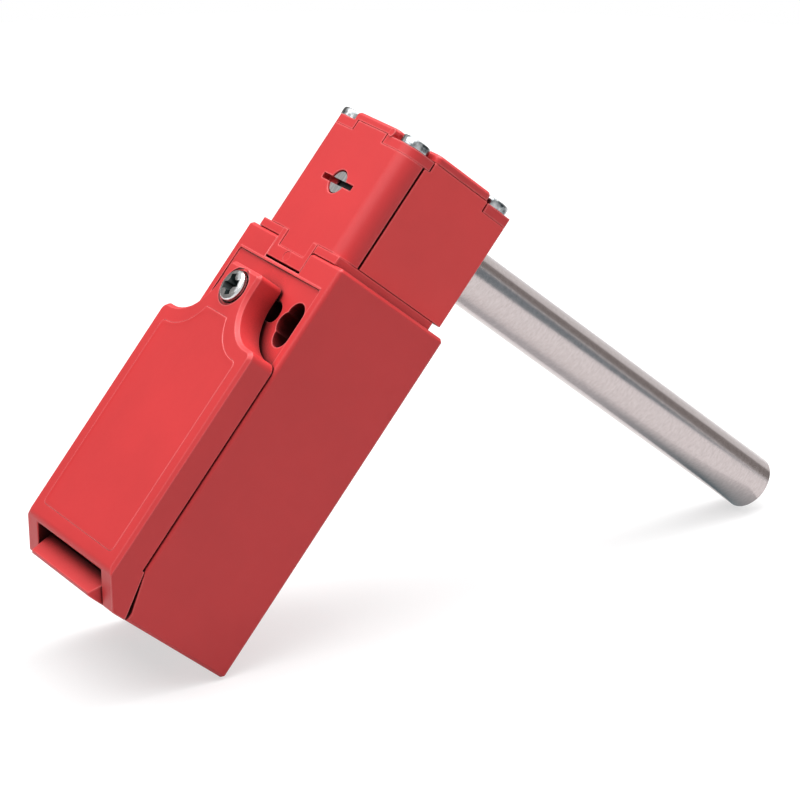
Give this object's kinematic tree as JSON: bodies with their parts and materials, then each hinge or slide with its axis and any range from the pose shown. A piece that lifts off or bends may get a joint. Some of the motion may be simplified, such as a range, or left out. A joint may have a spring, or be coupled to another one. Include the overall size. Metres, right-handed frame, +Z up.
{
  "type": "safety hinge switch",
  "caption": "Slim red safety switch body with a screwed front cover and a square head, turned by a long round hinge shaft whose cam opens the contacts inside.",
  "frame": {"origin": "midway between the two mounting holes, on the flat rear face of the body", "axes": "+Z up along the body towards the head, +Y out of the rear face along the shaft, +X to the right seen from the front"},
  "size_m": [0.031, 0.1172, 0.0907],
  "materials": {
    "red_plastic": "moulded, low sheen",
    "bright_screw": "bright zinc plate",
    "stainless": "satin, drawn along its length",
    "cam_steel": "ground",
    "bush_bronze": "sintered bronze",
    "black_rubber": "matt",
    "white_plastic": "moulded",
    "black_plastic": "moulded",
    "spring_steel": "drawn wire",
    "contact_brass": "stamped strip with silver contact faces",
    "terminal_steel": "zinc plate"
  },
  "bodies": {
    "body": {"housing": "red_plastic", "front_cover": "red_plastic", "head_adapter": "red_plastic", "head_housing": "red_plastic", "head_cap": "red_plastic", "head_lid": "red_plastic", "cover_screw": "bright_screw", "head_screws": "bright_screw", "head_latch": "stainless", "rear_bush": "bush_bronze", "cover_gasket": "black_rubber", "head_gasket": "black_rubber", "shaft_seal": "black_rubber", "contact_block": "black_plastic", "contact_block_plate": "black_plastic", "return_spring": "spring_steel", "terminal_11": "contact_brass", "terminal_12": "contact_brass", "terminal_21": "contact_brass", "terminal_22": "contact_brass", "terminal_33": "contact_brass", "terminal_34": "contact_brass", "terminal_screws": "terminal_steel", "clamp_washers": "terminal_steel"},
    "shaft": {"shaft": "stainless", "cam": "cam_steel", "cam_pin": "stainless"},
    "slider": {"plunger": "white_plastic", "contact_carrier": "white_plastic", "contact_springs": "spring_steel", "bridge_11_12": "contact_brass", "bridge_21_22": "contact_brass", "bridge_33_34": "contact_brass"}
  },
  "joints": [
    {"name": "shaft_turn", "type": "hinge", "parent": "body", "child": "shaft", "pos_m": [0, 0, 0.0245], "axis": [0, 1, 0], "range_deg": [0, 180]},
    {"name": "plunger_slide", "type": "slide", "parent": "body", "child": "slider", "axis": [0, 0, -1], "range_m": [0, 0.003], "deforming": ["return_spring"]}
  ],
  "couplings": [
    {"joint": "plunger_slide", "follows": "shaft_turn", "m_per_rad": 0.00095493}
  ]
}
